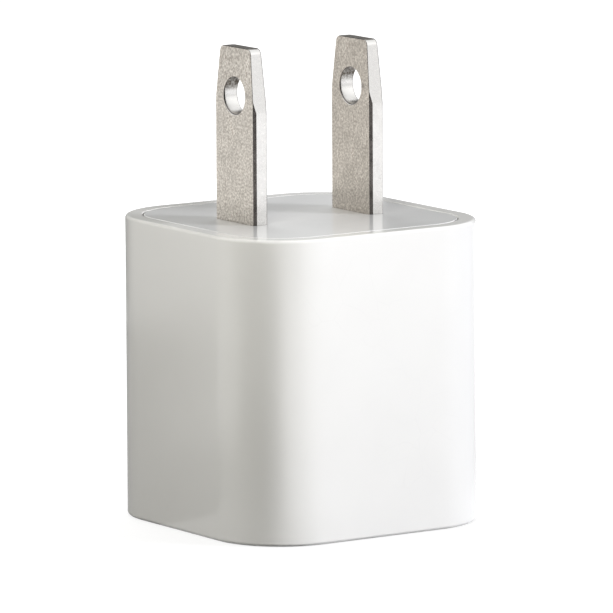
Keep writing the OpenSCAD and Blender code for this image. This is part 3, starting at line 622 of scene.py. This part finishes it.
def housing_rings(b):
    """Rings round the cup's whole wall: port, socket face, outside, rim, ledge, inside."""
    def wall(inset, z):
        return body_ring(b, inset, z)

    def port(grow, z):
        return ring(b.port_width / 2 + grow, b.port_height / 2 + grow, b.port_corner + grow, z)

    seat = b.height - b.plate
    flat, fillet = 0.15 * MM, 0.4 * MM
    rings = [port(0, b.floor * k) for k in (1.0, 0.75, 0.5)]
    rings += [port(0, b.port_bevel + SOFT), port(SOFT / 3, b.port_bevel - SOFT / 2),
              port(b.port_bevel - SOFT / 2, SOFT / 3), port(b.port_bevel + SOFT, 0)]
    rings += blend(rings[-1], wall(b.edge, 0), 8)
    rings += [wall(inset, rise) for inset, rise in round_over(b.edge, 8)]
    rings += blend(rings[-1], wall(0, b.height - b.edge), 26)
    rings += [wall(inset, b.height - drop) for drop, inset in round_over(b.edge, 8)]
    rings += [wall(b.edge + flat, b.height), wall(b.rim - b.seam_break - flat, b.height)]
    rings += [wall(b.rim - back, b.height - drop) for back, drop in round_over(b.seam_break, 5)]
    rings += [wall(b.rim, seat), wall(b.wall, seat)]
    rings += blend(wall(b.wall, seat), wall(b.wall, b.floor + fillet), 6)
    rings += [wall(b.wall + inset, b.floor + rise) for rise, inset in round_over(fillet, 4)]
    rings += blend(rings[-1], rings[0], 6)
    return rings


def ripple(bm, b):
    """Slow waves that moulding leaves in the outer walls; they only ever go inwards."""
    waves_per_metre, run_in, calm = 130, 1.5 * MM, 0.2
    for v in bm.verts:
        sideways = Vector((v.co.x, v.co.y, 0))
        past_x, past_y = abs(v.co.x) - b.width / 2, abs(v.co.y) - b.depth / 2
        past_corner = Vector((max(past_x + b.corner, 0), max(past_y + b.corner, 0))).length - b.corner
        fade = min(v.co.z, b.height - v.co.z) / run_in - calm
        if max(past_x, past_y, past_corner) > -1e-6 and fade > 0:
            wave = 0.5 + 0.5 * noise.noise(v.co * waves_per_metre)
            v.co -= sideways.normalized() * b.ripple * wave * min(1.0, fade)


def post(bm, b, corner, past, low, high, soft=SOFT):
    """Upright post across a corner of the cavity, reaching past its wall or stopping short of it."""
    radius = b.corner - b.wall
    sx, sy = CORNERS[corner]
    middle = (sx * (b.width / 2 - b.wall - radius), sy * (b.depth / 2 - b.wall - radius))
    block(bm, (radius - POST_DEPTH, -POST_HALF, low), (radius + past, POST_HALF, high),
          math.radians(45 + 90 * corner), middle, soft)


def blade_sections(p, b, grow=0.0, top=None):
    """Eight-sided sections of a blade from its tail to its tip, centred on X = 0.

    The bevels on the -X side run out where the tip narrows; those on the +X side follow it to the end.
    """
    half_t, half_w = p.thickness / 2, p.width / 2
    boss = b.height - b.plate - BOSS_HEIGHT
    anchor = boss + ANCHOR_RISE
    straight, thin, arc = p.tip - p.tip_length, p.tip - p.thin_length, p.tip - p.tip_round

    def section(x, y, z, near, far, middle=0.0):
        """Corners of a section whose two sides are cut back by (thickness, width)."""
        x, y = x + grow, y + grow
        return [Vector((px, middle + py, z)) for px, py in (
            (x, far[1] - y), (x, y - far[1]), (x - far[0], y), (near[0] - x, y),
            (-x, y - near[1]), (-x, near[1] - y), (near[0] - x, -y), (x - far[0], -y))]

    def taper(z):
        return half_w + (p.tip_width / 2 - half_w) * max(z - straight, 0) / p.tip_length

    tail = (p.width - TAIL_WIDTH) / 2
    plain = (0.05 * MM, 0.05 * MM)
    ledge, under = 0.03 * MM, 0.4 * MM
    low, high = anchor - grow, anchor + ANCHOR_HEIGHT + grow
    root = ((TAIL_WIDTH / 2, boss - TAIL_LENGTH, tail), (TAIL_WIDTH / 2, low, tail),
            (half_w + ANCHOR_REACH, low + ledge, 0.0), (half_w + ANCHOR_REACH, high, 0.0))
    rows = [section(half_t, y, z, plain, plain, middle) for y, z, middle in root]
    heights = [high + ledge, b.height - under, b.height]
    for start, end, steps in ((b.height, straight, 12), (straight, thin, 6), (thin, arc, 10)):
        heights += [start + (end - start) * i / steps for i in range(1, steps + 1)]
    heights += [arc + (p.tip_round - p.tip_break) * math.sin(math.pi / 16 * i) for i in range(1, 9)]
    heights += [p.tip - p.tip_break * (1 - math.sin(math.pi / 8 * i)) for i in range(1, 5)]
    for z in heights:
        if top is not None and z > top:
            break
        across, thick = taper(z), half_t
        cut = half_w - across
        if z > arc:
            round_off = math.sqrt(max(p.tip_round ** 2 - (z - arc) ** 2, 0))
            across = min(across, taper(arc) - p.tip_round + round_off)
        if z > thin:
            thick += (p.tip_thickness / 2 - half_t) * (z - thin) / p.thin_length
        thick -= max(z - (p.tip - p.tip_break), 0)
        left = max(1 - cut / p.bevel_width, 0)
        near = (max(p.bevel * left, p.edge), max(p.bevel_width * left, p.edge))
        rows.append(section(thick, across, z, near, (p.far_bevel, p.bevel_width)))
    return rows


def hole_tool(p, b, x):
    """Cutter for a blade's hole, with a rolled lip at both faces."""
    half, radius, lip = p.thickness / 2, p.hole / 2, p.hole_break
    past, wider, steps, count = 0.6 * MM, 0.55 * MM, 5, 72
    turns = [math.radians(80 * (1 - i / steps)) for i in range(steps + 1)]
    profile = [(half - lip + lip * math.sin(turn), radius + lip * (1 - math.cos(turn))) for turn in turns]
    right = [(half + past, profile[0][1] + wider)] + profile
    spokes = [(math.cos(2 * math.pi * i / count), math.sin(2 * math.pi * i / count)) for i in range(count)]
    middle = b.height + p.hole_height
    rings = [[Vector((x + x0, r * y, middle + r * z)) for y, z in spokes]
             for x0, r in right + [(-x0, r) for x0, r in reversed(right)]]
    return capped("hole_tool", rings)


# Operators

class CHARGER_OT_stage(Operator):
    """Camera, white room, floor, cloths and soft light panels"""

    bl_idname = "charger.stage"
    bl_label = "Studio"

    # Camera: angles in degrees, side and focal length of the picture in pixels, distance and two shifts
    AZIMUTH, ELEVATION, ROLL = -33.71, 8.73, -0.29
    PICTURE_SIDE, FOCAL_LENGTH = 613, 7664.6
    DISTANCE, ASIDE, BELOW = 701.26 * MM, 0.55 * MM, 0.58 * MM
    # Place that the camera and the panels face
    AIM = Vector((0, 0, 20 * MM))

    def execute(self, context):
        setup = context.scene.charger_stage
        self.camera(context)
        self.room(context, setup)
        self.floor(setup)
        self.tent(setup)
        cool, warm, plain = (0.952, 0.957, 1.0), (1.0, 0.985, 0.94), (1.0, 1.0, 1.0)
        for name, turn, rise, distance, size, brightness, colour in (
                ("key_panel", 76, 14, 0.40, 0.10, setup.key, cool),
                ("front_panel", -20, 30, 0.12, 0.06, setup.front, warm),
                ("side_panel", -105, 12, 0.29, 0.145, setup.side, warm),
                ("top_panel", 180, 60, 0.40, 0.25, setup.top, plain),
                ("back_panel", 200, 10, 0.40, 0.25, setup.back, plain)):
            self.panel(name, self.toward(turn, rise), distance, size, brightness, colour)
        context.scene.view_settings.view_transform = "Standard"
        return {"FINISHED"}

    def camera(self, context):
        """Long lens, a little above the plate and to the left."""
        back, right, roll = self.toward(0, self.ELEVATION), self.toward(90), math.radians(self.ROLL)
        up = back.cross(right)
        across = math.cos(roll) * right + math.sin(roll) * up
        upward = math.cos(roll) * up - math.sin(roll) * right
        data = bpy.data.cameras.new("camera")
        data.sensor_fit, data.sensor_width = "HORIZONTAL", 36.0
        data.lens = self.FOCAL_LENGTH * data.sensor_width / self.PICTURE_SIDE
        data.clip_start, data.clip_end = 0.01, 20
        made = bpy.data.objects.new("camera", data)
        place = self.AIM + self.DISTANCE * back + self.ASIDE * across - self.BELOW * upward
        turned = Matrix((across, upward, back)).transposed().to_4x4()
        made.matrix_world = Matrix.Translation(place) @ turned
        context.scene.collection.objects.link(made)
        context.scene.camera = made

    def seen(self, tree):
        """1 for what the camera, a reflection or a clear part looks at, 0 for light on matt surfaces."""
        path = add(tree, "LightPath")
        shown = math_node(tree, "MAXIMUM", path.outputs["Is Camera Ray"], path.outputs["Is Glossy Ray"])
        return math_node(tree, "MAXIMUM", shown, path.outputs["Is Transmission Ray"])

    def room(self, context, setup):
        """White room: white to look at, and a plain level of light from all sides."""
        world = bpy.data.worlds.new("white_room")
        world.use_nodes = True
        tree = world.node_tree
        light = tree.nodes["Background"]
        light.inputs["Strength"].default_value = setup.ambient
        light.inputs["Color"].default_value = (1, 1, 1, 1)
        white = add(tree, "Background", {"Color": (1, 1, 1, 1), "Strength": 1.0})
        join(tree, (choose(tree, self.seen(tree), light, white), tree.nodes["World Output"].inputs[0]))
        context.scene.world = world

    def floor(self, setup):
        """Pale floor that looks white, keeps the charger's soft shadow and has painted shade round the
        charger's foot.
        """
        bm = bmesh.new()
        half_side, drop = 3.0, 0.05 * MM
        bmesh.ops.create_grid(bm, x_segments=8, y_segments=8, size=half_side)
        floor = piece_from("floor", bm)
        floor.location.z = -drop
        look, tree, end = bare_material("pale_floor")
        matt = add(tree, "BsdfDiffuse", {"Color": (*setup.bounce, 1)})
        soft = add(tree, "BsdfDiffuse", {"Color": (*setup.shadow, 1)})
        glow = add(tree, "Emission", {"Color": (1, 1, 1, 1)})
        both = add(tree, "AddShader")
        far = add(tree, "VectorMath", operation="LENGTH")
        join(tree, (here(tree), far.inputs[0]))
        # The floor glows less below the charger than round it: painted shade round its foot, besides the real
        # shadow
        below, clear, painted_shade_glow = 0.02, 0.11, 0.8
        glow_with_painted_shade = ramp(tree, far.outputs["Value"], below, clear, painted_shade_glow, 1.0, smooth=True)
        join(tree, (glow_with_painted_shade, glow.inputs["Strength"]), (soft.outputs[0], both.inputs[0]),
             (glow.outputs[0], both.inputs[1]), (choose(tree, self.seen(tree), matt, both), end))
        floor.data.materials.append(look)

    def toward(self, turn, rise=0.0):
        """Direction at a turn to the right of the camera, seen from above, and a rise, both in degrees."""
        around, rise = math.radians(self.AZIMUTH + turn), math.radians(rise)
        return Vector((math.sin(around) * math.cos(rise), -math.cos(around) * math.cos(rise), math.sin(rise)))

    def panel(self, name, back, distance, size, brightness, colour):
        """Square soft panel that faces the charger and that neither the camera nor a reflection shows."""
        lamp = bpy.data.lights.new(name, "AREA")
        lamp.shape, lamp.size, lamp.color = "SQUARE", size, colour
        lamp.energy = brightness * math.pi * size * size
        made = bpy.data.objects.new(name, lamp)
        made.rotation_mode = "QUATERNION"
        made.location = self.AIM + distance * back
        made.rotation_quaternion = back.to_track_quat("Z", "Y")
        made.visible_camera = made.visible_glossy = False
        bpy.context.scene.collection.objects.link(made)

    def tent(self, setup):
        """Cloths and mats that only reflections show.

        A dark flag stands round the camera, a white window on the left, grey cloth and a small card behind
        and bright cloth on the right. Light and dark mats lie on the table, each just below the one before.
        """
        def fade(value, first, last):
            return min(1.0, max(0.0, (value - first) / (last - first)))

        wide, tall = 0.30, 0.34
        for name, start, end, radius, low, high, brightness in (
                ("flag_cloth", -68, 30, wide, 0, tall, setup.flag),
                ("window_cloth", -122, -76, wide, 0, tall, setup.window),
                ("back_cloth", -218, -124, wide, 0, tall, setup.cloth),
                ("bright_cloth", 35, 112, wide, 0, tall, setup.bright),
                ("back_card", 177.8, 182.2, 0.28, 0.045, 0.08, setup.card)):
            foot = [radius * self.toward(start + (end - start) * i / 16) for i in range(17)]
            rows = [[(place + Vector((0, 0, z)), 1.0) for place in foot] for z in (low, high)]
            self.sheet(name, rows, brightness)
        mats = (
            ("sill_mat", setup.sill, (-108, -96, -66, -50), ((0.045, 0), (0.08, 1), (0.15, 1), (0.175, 0))),
            ("flag_mat", setup.flag, (-71, -70, -5, 5), ((0.022, 0), (0.055, 1), (0.175, 1))),
            ("far_flag_mat", setup.flag, (-71, -70, 24, 36), ((0.175, 1), (0.30, 1))),
            ("glare_mat", setup.glare, (-2, 10, 40, 58), ((0.02, 0), (0.035, 1), (0.155, 1), (0.175, 0))),
            ("edge_mat", setup.edge, (82, 98, 142, 152), ((0.02, 0), (0.04, 1), (0.30, 1))),
            ("table_mat", setup.mat, (-194, -180, -71, -70), ((0.0005, 1), (0.12, 1), (0.14, 0))),
            ("left_mat", setup.mat, (-194, -180, -142, -118), ((0.12, 0), (0.14, 1), (0.30, 1))))
        for layer, (name, brightness, (start, full, last, end), reaches) in enumerate(mats):
            below = Vector((0, 0, -0.005 * layer * MM))
            ways = [(self.toward(turn), fade(turn, start, full), fade(turn, end, last))
                    for turn in range(start, end + 1)]
            rows = [[(reach * way + below, cover * rise * fall) for way, rise, fall in ways]
                    for reach, cover in reaches]
            self.sheet(name, rows, brightness)

    def sheet(self, name, rows, brightness):
        """Evenly bright cloth that only reflections show, from rows of (place, how far it covers there)."""
        bm = bmesh.new()
        cover = bm.verts.layers.float.new("cover")
        grid = [[bm.verts.new(place) for place, share in row] for row in rows]
        for verts, row in zip(grid, rows):
            for vert, (place, share) in zip(verts, row):
                vert[cover] = share
        for low, high in zip(grid, grid[1:]):
            for i in range(len(low) - 1):
                bm.faces.new((low[i], low[i + 1], high[i + 1], high[i]))
        made = piece_from(name, bm)
        look, tree, end = bare_material(name)
        share = add(tree, "Attribute", attribute_name="cover")
        glow = add(tree, "Emission", {"Color": (1, 1, 1, 1), "Strength": brightness})
        clear = add(tree, "BsdfTransparent")
        join(tree, (choose(tree, share.outputs["Fac"], clear, glow), end))
        made.data.materials.append(look)
        made.visible_camera = made.visible_diffuse = made.visible_transmission = made.visible_shadow = False


class CHARGER_OT_housing(Operator):
    """Moulded cup with round corners, a rim for the end plate and the socket's port"""

    bl_idname = "charger.housing"
    bl_label = "Housing"

    def execute(self, context):
        b, finish = context.scene.charger_body, context.scene.charger_finish
        white = polished_white("shell_white", finish.shell, haze=0.1, rubbed=0.5)
        bm = bmesh.new()
        skin(bm, housing_rings(b), closed=True)
        ripple(bm, b)
        dress(piece_from("housing_shell", bm), white, "white_shell", "housing")
        dress(self.ribs(b), white, "white_shell")
        return {"FINISHED"}

    def ribs(self, b):
        """Board guides, corner posts and the collar round the socket, all inside the cup."""
        bm = bmesh.new()
        cavity_x = b.width / 2 - b.wall
        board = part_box("main_board")[0].z
        low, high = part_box("usb_board")
        foot, collar_top = b.floor - SUNK, b.floor + COLLAR_HEIGHT
        half_port, port_top = b.port_width / 2, b.port_height / 2

        def pair(near, far, y0, y1, top):
            for x0, x1 in ((-far, -near), (near, far)):
                block(bm, (x0, y0, foot), (x1, y1, top))

        for y in (high.y + GUIDE_GAP, low.y - GUIDE_GAP - GUIDE_WIDTH):
            pair(cavity_x - GUIDE_DEPTH, cavity_x + SUNK, y, y + GUIDE_WIDTH, board)
        for corner in range(4):
            post(bm, b, corner, SUNK, foot, board)
        pair(half_port, half_port + COLLAR, high.y + GUIDE_GAP, port_top + COLLAR, collar_top)
        block(bm, (-half_port, port_top, foot), (half_port, port_top + COLLAR, collar_top))
        return piece_from("housing_ribs", bm)


class CHARGER_OT_end_plate(Operator):
    """End plate set flush in the rim, with the bosses that hold the blades"""

    bl_idname = "charger.end_plate"
    bl_label = "End plate"

    def execute(self, context):
        b, p = context.scene.charger_body, context.scene.charger_blades
        seat, board = b.height - b.plate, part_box("main_board")[1].z
        inset, gap = b.rim + b.seam, 0.1 * MM
        rings = [body_ring(b, inset + back, b.height - drop) for back, drop in round_over(b.seam_break, 5)]
        rings.append(body_ring(b, inset, seat))
        outer, inner, low = b.wall + gap, b.wall + gap + b.skirt, seat - b.skirt_height
        skirt = ((outer, seat), (outer, low), (inner, low), (inner, seat))
        rings += [body_ring(b, more, z) for more, z in skirt]
        plate = capped("end_plate", rings)
        for x in (-p.pitch / 2, p.pitch / 2):
            carve(plate, self.boss(p, x, seat), "UNION")
        for corner in range(4):
            bm = bmesh.new()
            post(bm, b, corner, -LEG_GAP, board, seat + ROOT, soft=0)
            carve(plate, piece_from("leg", bm), "UNION")
        for x in (-p.pitch / 2, p.pitch / 2):
            carve(plate, self.slot(p, b, x), "DIFFERENCE")
        colour = context.scene.charger_finish.plate
        white = polished_white("plate_white", colour, haze=0.07, rubbed=1.0)
        dress(plate, white, "white_plate", "blade_plate")
        return {"FINISHED"}

    def boss(self, p, x, seat):
        """Block under the plate that closes round a blade's anchor."""
        bm = bmesh.new()
        deep = p.width / 2 + BOSS_REACH
        block(bm, (x - BOSS_HALF, -deep, seat - BOSS_HEIGHT), (x + BOSS_HALF, deep, seat + ROOT), soft=0)
        return piece_from("boss", bm)

    def slot(self, p, b, x):
        """Room for a blade in the plate, with a small bevel round its mouth."""
        under, past = 0.2 * MM, 1 * MM
        rows = blade_sections(p, b, p.slot_gap, b.height - under)
        for lift, more in ((-0.05 * MM, 0.0), (0.06 * MM, 0.11 * MM)):
            z = b.height + lift
            rows.append([Vector((q.x + math.copysign(more, q.x), q.y + math.copysign(more, q.y), z))
                         for q in rows[-1]])
        rows.append([q + Vector((0, 0, past)) for q in rows[-1]])
        return capped("slot", shift(rows, x))


class CHARGER_OT_blades(Operator):
    """The two nickel-plated blades with their bevels, thinned tips and holes"""

    bl_idname = "charger.blades"
    bl_label = "Blades"

    def execute(self, context):
        b, p, finish = context.scene.charger_body, context.scene.charger_blades, context.scene.charger_finish
        # The right blade takes the darker nickel: painted shade on the same metal as the left blade
        for side, name, colour in ((-1, "left", finish.nickel), (1, "right", finish.nickel_shaded)):
            x = side * p.pitch / 2
            blade = capped("nickel_blade_" + name, shift(blade_sections(p, b), x))
            carve(blade, hole_tool(p, b, x), "DIFFERENCE")
            nickel = pitted_nickel("blade_nickel_" + name, colour, finish.nickel_low)
            dress(blade, nickel, "blade_metal", "blade_" + name, crease=20.0)
        return {"FINISHED"}


class CHARGER_OT_socket(Operator):
    """Finishes of the socket's folded sleeve, tongue and contacts"""

    bl_idname = "charger.socket"
    bl_label = "Socket"

    def execute(self, context):
        finish = context.scene.charger_finish
        finishes = {
            "usb_shell": plated_metal("sleeve_plate", finish.sleeve, rough=0.24, drawn=(0.12, 0.12, 1.0)),
            "usb_insulator": moulded_part("tongue_moulding", finish.tongue, rough=0.32, scale=3500.0),
            "usb_contacts": plated_metal("contact_gold", finish.contacts, rough=0.2, drawn=(1.0, 1.0, 0.1)),
        }
        for node, made in finishes.items():
            coat(frame["nodes"][node], made)
        return {"FINISHED"}


def coat(node, made):
    """Gives a CAD node its finish."""
    node.data.materials.clear()
    node.data.materials.append(made)


class CHARGER_OT_inner_parts(Operator):
    """Finishes of the boards, transformer, capacitors, chips and contacts inside the housing"""

    bl_idname = "charger.inner_parts"
    bl_label = "Inner parts"

    # Roughness of the metals, and roughness and grain of the rest, by slot
    METALS = {"spring_bronze": 0.3, "tinned_pins": 0.25, "can_bare": 0.35, "copper_wire": 0.3}
    GRAINS = {"ferrite": (0.6, 5000.0), "chip_black": (0.5, 6000.0), "film": (0.35, 1500.0),
              "can_sleeve": (0.25, 1200.0), "tape_yellow": (0.35, 2200.0), "disc_coat": (0.3, 1800.0)}
    PLAIN = (0.45, 3000.0)
    DONE = {"housing", "blade_plate", "blade_left", "blade_right",
            "usb_shell", "usb_insulator", "usb_contacts"}

    def execute(self, context):
        made = {}
        for name in sorted(set(frame["nodes"]) - self.DONE):
            slot = NODE_SLOTS[name]
            if slot not in made:
                made[slot] = self.finish(slot, tuple(RECORD_COLOURS[slot]))
            coat(frame["nodes"][name], made[slot])
        return {"FINISHED"}

    def finish(self, slot, colour):
        """Finish of one slot in the colour that the record gives it."""
        if slot == "board":
            return solder_mask("board_mask", colour)
        if slot in self.METALS:
            return plated_metal("inner_" + slot, colour, self.METALS[slot])
        rough, scale = self.GRAINS.get(slot, self.PLAIN)
        return moulded_part("inner_" + slot, colour, rough, scale)


class CHARGER_PT_build(Panel):
    """Sizes, colours and steps of the wall charger"""

    bl_idname = "CHARGER_PT_build"
    bl_label = "Wall charger"
    bl_space_type = "VIEW_3D"
    bl_region_type = "UI"
    bl_category = "Charger"

    def draw(self, context):
        for name, (label, _) in SETTINGS.items():
            box = self.layout.box()
            box.label(text=label)
            settings = getattr(context.scene, name)
            for key in settings.bl_rna.properties.keys():
                if key not in ("rna_type", "name"):
                    box.prop(settings, key)
        for step in STEPS:
            self.layout.operator(step.bl_idname)


STEPS = (CHARGER_OT_stage, CHARGER_OT_housing, CHARGER_OT_end_plate, CHARGER_OT_blades, CHARGER_OT_socket,
         CHARGER_OT_inner_parts)
SETTINGS = {"charger_body": ("Housing", CHARGER_PG_body), "charger_blades": ("Blades", CHARGER_PG_blades),
            "charger_finish": ("Colours", CHARGER_PG_finish), "charger_stage": ("Studio", CHARGER_PG_stage)}
CLASSES = (*(kind for label, kind in SETTINGS.values()), *STEPS, CHARGER_PT_build)


def register():
    """Registers the classes and hangs the settings on the scene."""
    for item in CLASSES:
        bpy.utils.register_class(item)
    for name, (_, kind) in SETTINGS.items():
        setattr(bpy.types.Scene, name, PointerProperty(type=kind))


def unregister():
    """Takes the settings and the classes away again."""
    for name in SETTINGS:
        delattr(bpy.types.Scene, name)
    for item in reversed(CLASSES):
        bpy.utils.unregister_class(item)


def main():
    """Builds every piece."""
    register()
    for step in STEPS:
        getattr(bpy.ops.charger, step.bl_idname.split(".")[1])()


if __name__ == "__main__":
    main()
